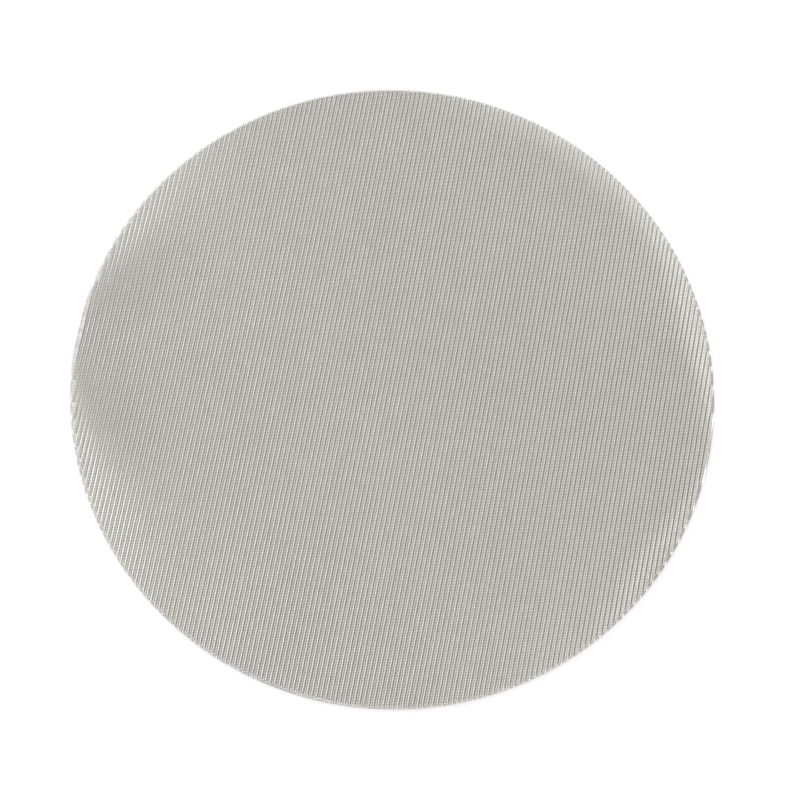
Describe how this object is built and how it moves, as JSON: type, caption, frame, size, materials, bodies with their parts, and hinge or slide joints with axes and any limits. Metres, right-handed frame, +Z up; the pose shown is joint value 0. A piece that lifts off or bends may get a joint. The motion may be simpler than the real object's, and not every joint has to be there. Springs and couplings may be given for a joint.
{
  "type": "woven wire filter disc",
  "caption": "Bare flat round disc of plain Dutch woven wire cloth, with a fine ridge over every straight wire on both faces and a clean cut rim.",
  "frame": {"origin": "centre of the face that the disc lies on, on the crests of the lower ridges", "axes": "+Z up, out of the cloth; +Y along the straight wires and the ridges over them; +X across the ridges, along the thin wires"},
  "size_m": [0.0584, 0.0584, 0.0003],
  "materials": {
    "wire_cloth": "satin"
  },
  "bodies": {
    "root": {"filter_disc": "wire_cloth"}
  },
  "joints": []
}
